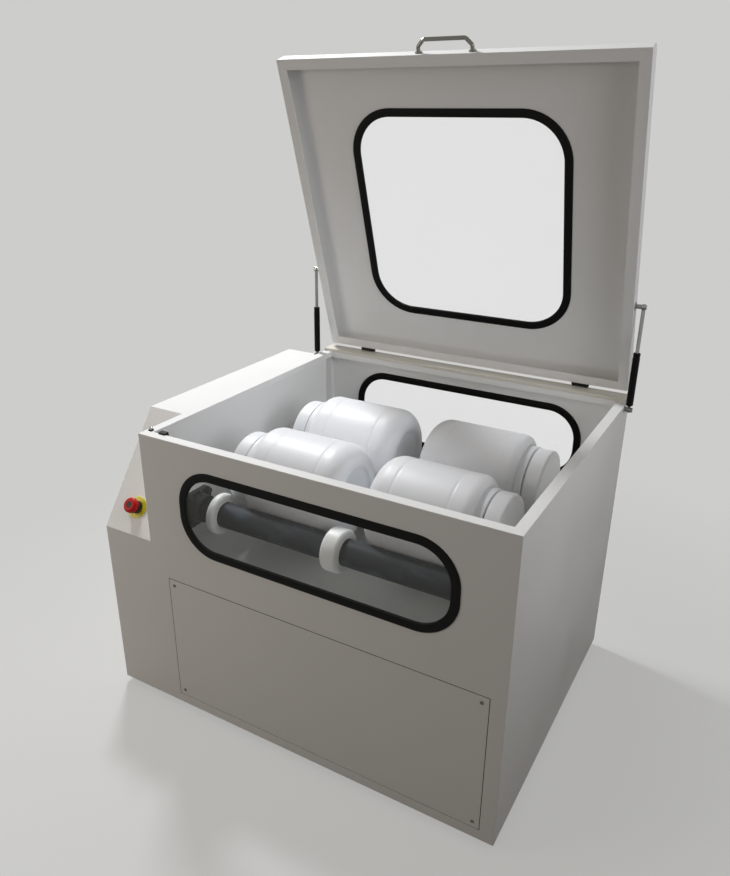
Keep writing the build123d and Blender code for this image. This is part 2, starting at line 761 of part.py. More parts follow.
# Jars and caps
def make_jars():
    for row, y in y_jars.items():
        for side, way, bottom in (("left", -1, left_jar_bottom), ("right", 1, right_jar_bottom)):
            x0 = x_left + bottom
            half_section = Plane(origin=(x0, y, z_jar), x_dir=(way, 0, 0), z_dir=(0, -way, 0))
            spin = Axis((x0, y, z_jar), (way, 0, 0))
            mouth = jar_body + jar_neck_length
            band_end = jar_body + jar_neck_band_length
            with BuildPart() as jar:
                with BuildSketch(half_section) as outline:
                    with BuildLine():
                        Polyline((0, 0), (0, jar_radius), (jar_body, jar_radius),
                                 (jar_body, jar_neck_band), (band_end, jar_neck_band),
                                 (band_end, jar_neck_radius), (mouth, jar_neck_radius), (mouth, 0),
                                 close=True)
                    make_face()
                    fillet(outline.vertices().filter_by_position(Axis.X, -1, 1).sort_by(Axis.Y)[-1],
                           jar_bottom_round)
                    fillet(outline.vertices().group_by(Axis.Y)[-1].sort_by(Axis.X)[-1], jar_shoulder_round)
                revolve(axis=spin)
                with BuildSketch(half_section) as hollow:
                    with BuildLine():
                        Polyline((jar_wall, 0), (jar_wall, jar_radius - jar_wall),
                                 (jar_body - jar_wall, jar_radius - jar_wall),
                                 (jar_body - jar_wall, jar_neck_radius - jar_wall - 1),
                                 (mouth, jar_neck_radius - jar_wall - 1), (mouth, 0), close=True)
                    make_face()
                    fillet(hollow.vertices().group_by(Axis.Y)[-1].sort_by(Axis.X)[0],
                           jar_bottom_round - jar_wall)
                    fillet(hollow.vertices().group_by(Axis.Y)[-1].sort_by(Axis.X)[-1],
                           jar_shoulder_round - jar_wall)
                revolve(axis=spin, mode=Mode.SUBTRACT)
                with BuildSketch(half_section):
                    for s in (jar_ring_inset, jar_body - jar_upper_ring_inset):
                        with Locations((s, jar_radius)):
                            Rectangle(jar_ring_width, 2 * jar_ring_depth)
                revolve(axis=spin, mode=Mode.SUBTRACT)
            save(jar, row + "_" + side + "_jar")
            start = jar_body + jar_neck_band_length + cap_gap
            end = start + cap_length
            with BuildPart() as cap:
                with BuildSketch(half_section) as cap_outline:
                    with BuildLine():
                        Polyline((start, jar_neck_radius + cap_play), (start, cap_radius), (end, cap_radius),
                                 (end, 0), (end - cap_thick, 0),
                                 (end - cap_thick, jar_neck_radius + cap_play), close=True)
                    make_face()
                    fillet(cap_outline.vertices().group_by(Axis.Y)[-1].sort_by(Axis.X)[-1], cap_round)
                revolve(axis=spin)
            save(cap, row + "_" + side + "_jar_cap")


# Drive: motor with gearbox, two pulleys and one belt
def pulley(x, y, z, radius, bore):
    # A grooved wheel, turned about X.
    half = pulley_width / 2
    groove = belt_width / 2 + groove_play
    with BuildSketch(Plane(origin=(x, y, z), x_dir=(1, 0, 0), z_dir=(0, -1, 0))) as section:
        with BuildLine():
            Polyline((-half, bore), (-half, radius), (-groove, radius), (-groove, radius - groove_depth),
                     (groove, radius - groove_depth), (groove, radius), (half, radius), (half, bore),
                     close=True)
        make_face()
    revolve(section.sketch, axis=Axis((x, y, z), (1, 0, 0)))


def make_drive():
    with BuildPart() as roller_pulley:
        pulley(x_pulley, y_rollers[1], z_roller, roller_pulley_radius, shaft_radius)
    save(roller_pulley, "roller_pulley")
    with BuildPart() as motor_pulley:
        pulley(x_pulley, y_motor, z_motor, motor_pulley_radius, motor_shaft_radius)
    save(motor_pulley, "motor_pulley")
    gear_start = x_left + sheet + post_size + 16
    with BuildPart() as motor_shaft:
        rod_x(x_pulley - pulley_width, gear_start + 20, y_motor, z_motor, motor_shaft_radius)
    save(motor_shaft, "motor_shaft")
    loop = Plane(origin=(x_pulley - belt_width / 2, 0, 0), x_dir=(0, 1, 0), z_dir=(1, 0, 0))
    with BuildPart() as drive_belt:
        for grow, mode in ((groove_play + belt_thick, Mode.ADD), (groove_play, Mode.SUBTRACT)):
            with BuildSketch(loop):
                for y, z, radius in ((y_rollers[1], z_roller, roller_pulley_radius),
                                     (y_motor, z_motor, motor_pulley_radius)):
                    with Locations((y, z)):
                        Circle(radius - groove_depth + grow)
                make_hull()
            extrude(amount=belt_width, mode=mode)
    save(drive_belt, "drive_belt")
    half = gearbox_size / 2 - 5
    gear_end = gear_start + gearbox_length
    z_plate = z_base + base_tube + 6
    with BuildPart() as gearbox:
        with BuildSketch(Plane(origin=(gear_start, y_motor, z_motor), x_dir=(0, 1, 0), z_dir=(1, 0, 0))):
            RectangleRounded(2 * half, 2 * half, 14)
        extrude(amount=gearbox_length)
        block(gear_start, gear_end, y_motor - half, y_motor + half, z_plate, z_motor)
        rod_x(gear_start, gear_start + 20, y_motor, z_motor, motor_shaft_radius + bearing_clearance,
              Mode.SUBTRACT)
    save(gearbox, "gearbox")
    with BuildPart() as drive_motor:
        rod_x(gear_end, gear_end + motor_length, y_motor, z_motor, motor_radius)
        with BuildSketch(Plane(origin=(gear_end + motor_fin_start, y_motor, z_motor), x_dir=(0, 1, 0),
                               z_dir=(1, 0, 0))):
            with PolarLocations(motor_radius + motor_fin_height / 2 - 1, motor_fin_count):
                Rectangle(motor_fin_height + 2, 3)
        extrude(amount=motor_length - motor_fin_start - motor_fin_end)
        start, half = gear_end + terminal_start, terminal_size / 2
        block(start, start + terminal_size, y_motor - half, y_motor + half, z_motor,
              z_motor + motor_radius + terminal_height)
    save(drive_motor, "drive_motor")
    with BuildPart() as control_box:
        front = y_motor + roller_pulley_radius + control_to_pulley
        low = z_base + control_level
        block(x_left - control_width, x_left, front, y_back - control_to_rear, low, low + control_height)
        fillet(control_box.edges().filter_by(Axis.X), 4)
    save(control_box, "control_box")


# Emergency stop
def make_estop():
    under = 2 * sheet
    with BuildPart() as ring:
        with BuildSketch(estop_plane):
            Circle(estop_ring_radius)
            Circle(estop_barrel, mode=Mode.SUBTRACT)
        extrude(amount=estop_ring_thick)
    save(ring, "estop_ring")
    with BuildPart() as body:
        with BuildSketch(estop_plane.offset(estop_ring_thick)):
            Circle(estop_collar_radius)
        extrude(amount=estop_collar_height, taper=8)
        with BuildSketch(estop_plane.offset(-26)):
            Circle(estop_barrel)
        extrude(amount=26 + estop_ring_thick)
        with BuildSketch(estop_plane.offset(-sheet - 5)):
            RegularPolygon(estop_barrel + 5, 6)
        extrude(amount=5)
        with BuildSketch(estop_plane.offset(-26)):
            RectangleRounded(30, 40, 3)
        extrude(amount=-34)
        with BuildSketch(estop_plane.offset(-under - estop_travel - 4)):
            Circle(estop_stem + 0.3)
        extrude(amount=60, mode=Mode.SUBTRACT)
    save(body, "estop_body")
    head = estop_ring_thick + estop_collar_height + estop_travel + 1
    with BuildPart() as button:
        with BuildSketch(estop_plane.offset(-under)):
            Circle(estop_stem)
        extrude(amount=head + under + 1)
        with BuildSketch(estop_plane.offset(head)):
            Circle(estop_head_radius)
        extrude(amount=estop_head_height)
        tips = button.edges().filter_by(GeomType.CIRCLE).sort_by(Axis(estop_plane.origin, estop_plane.z_dir))
        fillet(tips[-1], 7)
    save(button, "estop_button")


# Lid rest and lid sensor in the front left corner of the rim
def make_rim_fittings():
    x = x_left + rest_inset
    y = y_front + rest_back
    with BuildPart() as lid_rest:
        with BuildSketch(Plane.XY.offset(z_rim)):
            with Locations((x, y)):
                Circle(rest_radius)
        extrude(amount=rest_height)
        fillet(lid_rest.edges().filter_by(GeomType.CIRCLE).sort_by(Axis.Z)[-1], 1.5)
    save(lid_rest, "lid_rest")
    with BuildPart() as fittings:
        with BuildSketch(Plane.XY.offset(z_rim)):
            with Locations((x, y)):
                Circle(ring_radius)
                Circle(rest_radius, mode=Mode.SUBTRACT)
        extrude(amount=ring_height)
        x0 = x_left + sensor_inset
        y0 = y_front + rim_width
        top = z_rim + sensor_rise
        block(x0, x0 + sensor_width, y0, y0 + sensor_thick, top - sensor_height, top)
        block(x0, x0 + sensor_width, y0 - 4, y0, z_rim, top)
    save(fittings, "rim_fittings")


def make_feet():
    with BuildPart() as feet:
        for x in (x_left + foot_inset, x_right - foot_inset):
            for y in (y_front + foot_inset, y_back - foot_inset):
                with BuildSketch(Plane.XY):
                    with Locations((x, y)):
                        Circle(foot_radius)
                extrude(amount=foot_pad, taper=15)
                with BuildSketch(Plane.XY):
                    with Locations((x, y)):
                        Circle(foot_stem)
                extrude(amount=foot_height)
                with BuildSketch(Plane.XY.offset(foot_height - 6)):
                    with Locations((x, y)):
                        RegularPolygon(foot_stem + 5, 6)
                extrude(amount=6)
    save(feet, "levelling_feet")


make_base_frame()
make_front_panel()
make_access_panel()
make_side_sheets()
make_rear_panel()
make_rim_frame()
make_chamber_floor()
make_drive_cover()
make_window(front_window, window_width, window_height, window_radius, "front")
make_window(rear_window, window_width, window_height, window_radius, "rear")
make_lid()
make_handle()
make_hinges()
make_struts()
make_rollers()
make_jars()
make_drive()
make_estop()
make_rim_fittings()
make_feet()
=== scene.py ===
"""Roller jar mill: surfaces, finishes and stage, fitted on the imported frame."""

import json
import math

import bmesh
import bpy
import numpy as np
from bpy.props import FloatProperty, FloatVectorProperty, IntProperty, PointerProperty
from bpy.types import Operator, Panel, PropertyGroup
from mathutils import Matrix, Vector


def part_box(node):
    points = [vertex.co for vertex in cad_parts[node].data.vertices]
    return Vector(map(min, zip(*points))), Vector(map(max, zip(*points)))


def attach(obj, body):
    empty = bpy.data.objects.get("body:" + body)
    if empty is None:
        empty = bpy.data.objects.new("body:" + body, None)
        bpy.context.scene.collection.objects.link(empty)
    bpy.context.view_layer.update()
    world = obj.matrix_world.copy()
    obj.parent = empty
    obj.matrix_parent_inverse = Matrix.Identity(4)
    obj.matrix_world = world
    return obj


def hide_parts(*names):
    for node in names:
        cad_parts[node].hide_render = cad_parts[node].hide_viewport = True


bl_info = {
    "name": "Roller Jar Mill",
    "version": (1, 0, 0),
    "blender": (4, 2, 0),
    "location": "3D View > Sidebar > Jar Mill",
    "description": "Dresses the frame of a roller jar mill with its surfaces, finishes and stage",
    "category": "Object",
}

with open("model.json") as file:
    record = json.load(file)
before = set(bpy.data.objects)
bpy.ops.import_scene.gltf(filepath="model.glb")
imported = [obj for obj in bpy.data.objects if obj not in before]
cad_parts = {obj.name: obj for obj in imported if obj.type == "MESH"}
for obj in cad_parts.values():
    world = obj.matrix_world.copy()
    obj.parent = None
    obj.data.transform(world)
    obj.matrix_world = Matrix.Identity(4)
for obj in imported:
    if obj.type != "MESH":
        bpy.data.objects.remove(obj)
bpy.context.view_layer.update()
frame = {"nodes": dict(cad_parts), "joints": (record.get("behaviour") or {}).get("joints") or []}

MM = 0.001
TURN = 2 * math.pi
X_AXIS = np.array((1.0, 0.0, 0.0))
Z_AXIS = np.array((0.0, 0.0, 1.0))

joints = {joint["name"]: joint for joint in frame["joints"]}
rim_low, rim_high = (np.array(corner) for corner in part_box("rim_frame"))
x_left, y_front = rim_low[:2]
x_right, y_back, z_rim = rim_high
x_mid = (x_left + x_right) / 2
z_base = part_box("base_frame")[0].z

# The open lid: its angle, and the way up out of its outer face
lid_angle = math.radians(joints["lid_hinge"]["range_deg"][1])
lid_up = np.array((0.0, math.sin(lid_angle), math.cos(lid_angle)))


def linear(code):
    """An sRGB hex colour as linear red, green and blue."""
    srgb = np.array([int(code[i:i + 2], 16) for i in (1, 3, 5)]) / 255
    bright = ((srgb + 0.055) / 1.055) ** 2.4
    return tuple(float(c) for c in np.where(srgb <= 0.04045, srgb / 12.92, bright))


def colour(label, code):
    """A colour that a user may change."""
    return FloatVectorProperty(name=label, description=label + " of the jar mill", size=3,
                               subtype="COLOR", min=0, max=1, default=linear(code))


def length(label, millimetres):
    """A length that a user may change."""
    return FloatProperty(name=label, description=label + " of the jar mill", unit="LENGTH",
                         min=0, precision=4, default=millimetres * MM)


# Sizes and colours that a user would change

class MillColours(PropertyGroup):
    white_paint: colour("White powder coat", "#f0f0ee")
    floor_paint: colour("Chamber floor paint", "#eceeea")
    frame_paint: colour("Frame paint", "#e4e4e1")
    # Darker than the white paint: painted shade of the lid over the rear rail, with a yellowish tint.
    rail_paint_and_shade: colour("Yellowed paint of the rear rail", "#dfdbcf")
    rubber: colour("Window rubber", "#050504")
    roller: colour("Roller rubber", "#10171c")
    roller_dust: colour("Chalk on the rollers", "#414c56")
    jar: colour("Jar polyethylene", "#f8fbff")
    nylon: colour("Collar nylon", "#f6f8f5")
    bearing: colour("Bearing paint", "#2d302a")
    button: colour("Stop button", "#c50912")
    ring: colour("Stop ring", "#e9e02a")


class WindowSizes(PropertyGroup):
    width: length("Front and rear window width", 763)
    height: length("Front and rear window height", 239)
    radius: length("Front and rear window corner radius", 105)
    lid_width: length("Lid window width", 628)
    lid_length: length("Lid window length", 619)
    lid_radius: length("Lid window corner radius", 130)
    rubber_width: length("Rubber profile width", 22)
    rubber_lip: length("Rubber profile lip", 9)
    rubber_proud: length("Rubber profile height above the sheet", 4)
    lock_groove: length("Depth of the locking strip's groove", 0.8)


class JarSizes(PropertyGroup):
    groove_depth: length("Depth of the two ring grooves", 1.2)
    groove_width: length("Width of the two ring grooves", 6)
    seam_depth: length("Depth of the mould's parting line", 0.35)
    grip_depth: length("Depth of the cap's grip ribs", 1.0)
    grip_count: IntProperty(name="Grip ribs", description="Number of grip ribs round each cap",
                            default=84, min=3)


class StageLook(PropertyGroup):
    backdrop: colour("Backdrop", "#cdcdcb")
    # Lighter than the backdrop where a pane lies in front of it: painted glow of the clear panes.
    pane_glow_backdrop: colour("Backdrop behind a clear pane", "#e7e7e7")
    floor: colour("Floor where the lamps light it", "#f0f0ee")
    floor_bounce: colour("Floor as it lights the object", "#736a61")
    ceiling_power: FloatProperty(name="Ceiling lamp",
                                 description="Power of the lamp behind on the left",
                                 subtype="POWER", unit="POWER", default=64, min=0)
    side_power: FloatProperty(name="Side lamp", description="Power of the soft lamp on the right",
                              subtype="POWER", unit="POWER", default=3.1, min=0)
    front_power: FloatProperty(name="Front lamp", description="Power of the soft lamp in front",
                               subtype="POWER", unit="POWER", default=12, min=0)
    fill: FloatProperty(name="Fill", description="Strength of the even light from all sides",
                        default=0.2, min=0)
    lens: FloatProperty(name="Lens", description="Focal length in millimetres", default=31.66,
                        min=1)


class MillSettings(PropertyGroup):
    colours: PointerProperty(type=MillColours)
    windows: PointerProperty(type=WindowSizes)
    jars: PointerProperty(type=JarSizes)
    stage: PointerProperty(type=StageLook)


# Surfaces

def piece_from_grids(name, grids, smooth=True):
    """One mesh from grids of points.

    Each grid is (points, wrap_rows, wrap_columns), where points has the shape rows, columns, 3.
    Every cell of a grid is one face, and a wrapped side joins its last row or column to its first.
    """
    vertices, faces, start = [], [], 0
    for points, wrap_rows, wrap_columns in grids:
        rows, columns = points.shape[:2]
        index = start + np.arange(rows * columns).reshape(rows, columns)
        if wrap_rows:
            index = np.vstack([index, index[:1]])
        if wrap_columns:
            index = np.hstack([index, index[:, :1]])
        corners = [index[:-1, :-1], index[1:, :-1], index[1:, 1:], index[:-1, 1:]]
        faces.append(np.stack([c.ravel() for c in corners], axis=1))
        vertices.append(points.reshape(-1, 3))
        start += rows * columns
    mesh = bpy.data.meshes.new(name)
    mesh.from_pydata(np.vstack(vertices).tolist(), [], np.vstack(faces).tolist())
    shell = bmesh.new()
    shell.from_mesh(mesh)
    bmesh.ops.remove_doubles(shell, verts=shell.verts, dist=1e-6)
    bmesh.ops.recalc_face_normals(shell, faces=shell.faces)
    shell.to_mesh(mesh)
    shell.free()
    mesh.polygons.foreach_set("use_smooth", np.full(len(mesh.polygons), smooth))
    mesh.update()
    piece = bpy.data.objects.new(name, mesh)
    bpy.context.scene.collection.objects.link(piece)
    return piece


def rounded(corners, radii, steps=6):
    """A line whose corners are rounded.

    Each corner P between the points A and B, one radius away on either side of it, becomes the arc
    (A (1 - t)^2 + 2 w P t (1 - t) + B t^2) / ((1 - t)^2 + 2 w t (1 - t) + t^2) with the weight
    w = |AB| / (2 |AP|). A corner with no radius stays as it is.
    """
    corners = np.asarray(corners, float)
    t = np.linspace(0, 1, steps + 1)[:, None]
    line = []
    for i, radius in enumerate(radii):
        here, before, after = corners[i], corners[i - 1], corners[(i + 1) % len(corners)]
        if radius == 0:
            line.append(here[None])
            continue
        a = here + radius * (before - here) / np.linalg.norm(before - here)
        b = here + radius * (after - here) / np.linalg.norm(after - here)
        weight = np.linalg.norm(b - a) / (2 * radius)
        share_a, share_p, share_b = (1 - t) ** 2, 2 * weight * t * (1 - t), t ** 2
        line.append((a * share_a + here * share_p + b * share_b) / (share_a + share_p + share_b))
    return np.vstack(line)


def turned(origin, axis, profile, steps=96, closed=False, shape=None):
    """A profile turned about an axis.

    The profile holds (distance along the axis, radius) in millimetres. A point at the angle a is
    origin + s axis + r (cos a side + sin a up), and shape gives the change of r for every s, r and a.
    """
    axis = np.asarray(axis, float)
    helper = Z_AXIS if abs(axis[2]) < 0.9 else X_AXIS
    side = np.cross(helper, axis)
    side /= np.linalg.norm(side)
    up = np.cross(axis, side)
    angle = np.arange(steps) * TURN / steps
    s, r = np.meshgrid(profile[:, 0], angle, indexing="ij")[0], profile[:, 1][:, None]
    r = np.broadcast_to(r, s.shape)
    if shape is not None:
        r = r + shape(s, r, angle[None, :])
    points = (np.asarray(origin) + MM * (s[..., None] * axis
              + (r * np.cos(angle))[..., None] * side + (r * np.sin(angle))[..., None] * up))
    return points, closed, True


def hexagon(s, r, angle):
    """The change of radius that makes a circle of radius r a hexagon with that corner radius."""
    sixth = np.mod(angle + math.pi / 6, math.pi / 3) - math.pi / 6
    return r * (math.cos(math.pi / 6) / np.cos(sixth) - 1)


def rounded_rectangle(width, height, radius, steps=24):
    """Points and outward directions round a rectangle with circular corners.

    Point = corner centre + radius (cos a, sin a), with a running through a quarter turn per corner.
    """
    a = np.arange(4)[:, None] * TURN / 4 + np.linspace(0, TURN / 4, steps + 1)
    out = np.stack([np.cos(a), np.sin(a)], axis=-1)
    signs = np.array([(1, 1), (-1, 1), (-1, -1), (1, -1)])[:, None, :]
    centres = signs * (np.array((width, height)) / 2 - radius)
    return (centres + radius * out).reshape(-1, 2), out.reshape(-1, 2)


def carried(origin, across, normal, path, out, profile):
    """A closed profile carried round a closed flat path.

    The profile holds (distance in from the path, height above the plane). A point is
    origin + (path - out p) in the plane + q normal.
    """
    along = np.cross(normal, across)
    flat = path[:, None, :] - out[:, None, :] * profile[None, :, :1]
    points = (origin + flat[..., :1] * across + flat[..., 1:] * along
              + profile[None, :, 1:] * normal)
    return points, True, True


def screw_head(centre, axis, radius, height, steps=48):
    """A low domed screw head with a cross recess.

    At the radius r its height is h (1 - 0.55 (r / R)^2), less 0.6 h exp(-(d / w)^4) in the recess,
    where d is the distance to the nearer arm's middle line. The arms end at 0.6 R.
    """
    share = np.concatenate([np.linspace(0, 0.72, 15), np.linspace(0.76, 1, 6)])
    angle = np.arange(steps) * TURN / steps
    r, a = np.meshgrid(radius * share, angle, indexing="ij")
    x, y = r * np.cos(a), r * np.sin(a)
    arm = np.minimum(abs(x), abs(y)) / (0.13 * radius)
    reach = 1 / (1 + np.exp((r / radius - 0.6) * 30))
    z = height * (1 - 0.55 * (r / radius) ** 2) - 0.6 * height * np.exp(-arm ** 4) * reach
    z = np.vstack([z, np.zeros((2, steps))])
    x = np.vstack([x, x[-1:], np.zeros((1, steps))])
    y = np.vstack([y, y[-1:], np.zeros((1, steps))])
    helper = Z_AXIS if abs(axis[2]) < 0.9 else X_AXIS
    side = np.cross(helper, axis)
    side /= np.linalg.norm(side)
    up = np.cross(axis, side)
    points = np.asarray(centre) + MM * (z[..., None] * axis + x[..., None] * side + y[..., None] * up)
    return points, False, True


# Materials

def add(tree, kind, values=None, links=None):
    """Adds one node with its values, which are properties or socket values, and its links."""
    node = tree.nodes.new(kind)
    for key, value in (values or {}).items():
        if isinstance(key, str) and hasattr(node, key):
            setattr(node, key, value)
        else:
            node.inputs[key].default_value = value
    for key, source in (links or {}).items():
        tree.links.new(source, node.inputs[key])
    return node


def combined(tree, operation, first, second):
    """The product, or another result, of two sockets' values."""
    return add(tree, "ShaderNodeMath", {"operation": operation}, {0: first, 1: second}).outputs[0]


def is_over(tree, value, limit):
    """1 where a socket's value is over the limit, and 0 elsewhere."""
    return add(tree, "ShaderNodeMath", {"operation": "GREATER_THAN", 1: limit}, {0: value}).outputs[0]


def blend(tree, amount, first, second):
    """The first colour at the amount 0 and the second at 1. Sockets 6, 7 and 2 are the colour ones."""
    mix = add(tree, "ShaderNodeMix", {"data_type": "RGBA"}, {0: amount})
    mix.inputs[6].default_value = (*first, 1)
    mix.inputs[7].default_value = (*second, 1)
    return mix.outputs[2]


def noise(tree, size, detail):
    """Noise in the object's own coordinates, with cells of this size in millimetres."""
    place = add(tree, "ShaderNodeTexCoord")
    return add(tree, "ShaderNodeTexNoise", {"Scale": 1 / (size * MM), "Detail": detail},
               {"Vector": place.outputs["Object"]}).outputs[0]


def shaded(name, base, roughness, metallic=0.0, ior=1.5, **extra):
    """A material with one surface shader, whose even numbers and colours are on its own sockets."""
    material = bpy.data.materials.new(name)
    material.use_nodes = True
    tree = material.node_tree
    tree.nodes.clear()
    values = {"Base Color": (*base, 1), "Roughness": roughness, "Metallic": metallic, "IOR": ior}
    values.update({key.replace("_", " "): value for key, value in extra.items()})
    shader = add(tree, "ShaderNodeBsdfPrincipled", values)
    add(tree, "ShaderNodeOutputMaterial", links={"Surface": shader.outputs[0]})
    return material, tree, shader


def grain(tree, shader, size, depth, detail=2.0):
    """A fine uneven surface: noise with cells of this size and depth in millimetres."""
    bump = add(tree, "ShaderNodeBump", {"Distance": depth * MM, "Strength": 1.0},
               {"Height": noise(tree, size, detail)})
    tree.links.new(bump.outputs[0], shader.inputs["Normal"])


def patches(tree, shader, socket, size, low, high):
    """Slow changes of one value over the surface, in patches of this size in millimetres."""
    ramp = add(tree, "ShaderNodeValToRGB", links={"Fac": noise(tree, size, 4.0)})
    for element, position, value in zip(ramp.color_ramp.elements, (0.35, 0.68), (low, high)):
        element.position = position
        element.color = (value, value, value, 1)
    tree.links.new(ramp.outputs[0], shader.inputs[socket])


def powder_coat(name, base, dusty=0.0):
    """Polyester powder coat, sprayed and baked: satin, with orange peel that softens reflections.

    Real orange peel is about 1 mm across, finer than the render shows, so it is drawn at 3 mm.
    """
    material, tree, shader = shaded(name, base, 0.46, ior=1.5)
    grain(tree, shader, size=3.0, depth=0.02)
    patches(tree, shader, "Roughness", 240, 0.40 + dusty, 0.52 + dusty)
    return material


def moulded_rubber(name, base, roughness=0.62):
    """Extruded EPDM rubber: matt black with a faint bloom, so highlights are broad and dull."""
    material, tree, shader = shaded(name, base, roughness, ior=1.52, Specular_IOR_Level=0.12)
    grain(tree, shader, size=1.2, depth=0.02)
    return material


def roller_rubber(name, base, chalk, starts, reach):
    """Polyurethane-covered roller, ground and worn: dull, with chalk that the jars rub off on it.

    The chalk is in slanting smears, thick at the two starts, where a jar begins beside a collar, and
    thinner further on.
    """
    material, tree, shader = shaded(name, base, 0.62, ior=1.5, Specular_IOR_Level=0.3)
    grain(tree, shader, size=2.0, depth=0.03)
    smear, slant, thinnest = 38, 0.9, 0.35
    place = add(tree, "ShaderNodeTexCoord")
    slanted = add(tree, "ShaderNodeMapping", {"Rotation": (0, 0, slant), "Scale": (0.5, 1.6, 1)},
                  {"Vector": place.outputs["Object"]})
    smears = add(tree, "ShaderNodeTexNoise", {"Scale": 1 / (smear * MM), "Detail": 5.0},
                 {"Vector": slanted.outputs[0]})
    x = add(tree, "ShaderNodeSeparateXYZ", links={0: place.outputs["Object"]}).outputs[0]
    stretches = []
    for start in starts:
        fall = add(tree, "ShaderNodeMapRange", {"From Min": start, "From Max": start + reach,
                                                "To Min": 1.0, "To Max": thinnest}, {"Value": x})
        stretches.append(combined(tree, "MULTIPLY", fall.outputs[0], is_over(tree, x, start)))
    thick = combined(tree, "MAXIMUM", *stretches)
    patch = add(tree, "ShaderNodeMapRange", {"From Min": 0.5, "From Max": 0.72},
                {"Value": smears.outputs[0]})
    amount = combined(tree, "MULTIPLY", patch.outputs[0], thick)
    tree.links.new(blend(tree, amount, base, chalk), shader.inputs["Base Color"])
    return material


def blown_polyethylene(name, base):
    """Blow-moulded natural HDPE: milky, so light spreads in the wall, with a soft waxy gloss."""
    material, tree, shader = shaded(name, base, 0.44, ior=1.54, Subsurface_Weight=0.5,
                                    Subsurface_Radius=(0.95, 1.0, 1.0), Subsurface_Scale=0.005,
                                    Specular_IOR_Level=0.4)
    grain(tree, shader, size=9.0, depth=0.12)
    return material


def turned_nylon(name, base):
    """Cast nylon, turned on a lathe: dense white with a soft satin gloss."""
    material, tree, shader = shaded(name, base, 0.42, ior=1.53, Subsurface_Weight=0.12,
                                    Subsurface_Radius=(1.0, 0.95, 0.9), Subsurface_Scale=0.004)
    grain(tree, shader, size=2.5, depth=0.02)
    return material


def clear_acrylic(name):
    """Clear acrylic sheet, cast: see-through with a thin haze, and polished so it mirrors lamps."""
    material, tree, shader = shaded(name, linear("#eef2f1"), 0.06, ior=1.49, Alpha=0.05)
    grain(tree, shader, size=160.0, depth=0.3, detail=1.0)
    return material


def cast_iron_paint(name, base):
    """Grey cast iron from a sand mould under thin enamel: pebbled and half dull."""
    material, tree, shader = shaded(name, base, 0.5, ior=1.5)
    grain(tree, shader, size=4.0, depth=0.25, detail=3.0)
    return material


def machined_metal(name, base, roughness):
    """Bare metal from a lathe, brush or plating bath: fine marks widen its highlights."""
    material, tree, shader = shaded(name, base, roughness, metallic=1.0)
    grain(tree, shader, size=1.5, depth=0.01)
    return material


def moulded_plastic(name, base, roughness, shine=0.5):
    """Injection-moulded ABS or nylon, and metal finished black: even colour with a soft shine."""
    material, tree, shader = shaded(name, base, roughness, ior=1.53, Specular_IOR_Level=shine)
    grain(tree, shader, size=1.6, depth=0.01)
    return material


# Fitting pieces on the frame

def dress(node, material, edge=0.0):
    """Gives a frame piece its finish, and its sharp edges a small radius in millimetres."""
    piece = frame["nodes"][node]
    for place in piece.material_slots:
        place.material = material
    if edge:
        weld = piece.modifiers.new("Weld", "WELD")
        weld.merge_threshold = 1e-6
        bevel = piece.modifiers.new("Edge", "BEVEL")
        bevel.width = edge * MM
        bevel.segments = 2
        bevel.limit_method = "ANGLE"
        bevel.angle_limit = math.radians(40)
        piece.modifiers.new("Normals", "WEIGHTED_NORMAL")


def fit(piece, body, material, slot, *nodes):
    """Gives a new piece its finish and body, and lets it stand for frame pieces."""
    piece.data.materials.append(material)
    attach(piece, body)
    if nodes:
        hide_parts(*nodes)


def settings():
    """The values that a user may change."""
    return bpy.context.scene.jar_mill


class JARMILL_OT_sheet_metal(Operator):
    """Powder-coated sheets, frame and chamber floor"""

    bl_idname = "jarmill.sheet_metal"
    bl_label = "Sheet metal"

    def gap_shadow_strips(self):
        """Four dark strips in the gap round the access panel: painted shadow of the gap.

        Each strip is a box: four rings of four corners, of which the first and last are one point.
        """
        strip, sunk = 1.4 * MM, 0.3 * MM
        low, high = (np.array(corner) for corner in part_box("access_panel"))
        low[1] += sunk
        middle, half = (low + high) / 2, (high - low) / 2
        corners = np.array([(-1, -1), (1, -1), (1, 1), (-1, 1)])
        grids = []
        for across, along in ((0, 2), (2, 0)):
            for way in (-1, 1):
                centre = middle.copy()
                centre[across] += way * (half[across] + strip / 2)
                points = np.zeros((4, 4, 3))
                for row, (reach, spread) in enumerate(((-1, 0), (-1, 1), (1, 1), (1, 0))):
                    points[row, :, along] = centre[along] + reach * (half[along] + strip)
                    points[row, :, across] = centre[across] + spread * corners[:, 0] * strip / 2
                    points[row, :, 1] = centre[1] + spread * corners[:, 1] * half[1]
                grids.append((points, False, True))
        return grids

    def execute(self, context):
        colours = settings().colours
        # Black strips in the gap round the access panel, in the rubber's colour: painted shadow of the
        # gap.
        gap_shadow_paint = moulded_rubber("painted_gap_shadow", colours.rubber, 0.9)
        fit(piece_from_grids("access_gap_shadow", self.gap_shadow_strips(), smooth=False), "cabinet", gap_shadow_paint,
            "gasket_rubber")
        white = powder_coat("white_powder_coat", colours.white_paint)
        for node in ("front_panel", "access_panel", "right_panel", "partition_wall", "rim_frame",
                     "drive_cover", "lid_shell"):
            dress(node, white, edge=0.7)
        # The rear sheet stays sharp: rounding the many small louvre edges would crease it.
        dress("rear_panel", white)
        # The rear rail's paint is darker than the white coat: painted shade of the lid, with a
        # yellowish tint.
        dress("hinge_rail", powder_coat("rail_powder_coat_painted_shade", colours.rail_paint_and_shade),
              edge=0.7)
        dress("chamber_floor", powder_coat("dusty_floor_paint", colours.floor_paint, dusty=0.1),
              edge=0.7)
        dress("base_frame", powder_coat("grey_frame_paint", colours.frame_paint),
              edge=2.0)
        return {"FINISHED"}


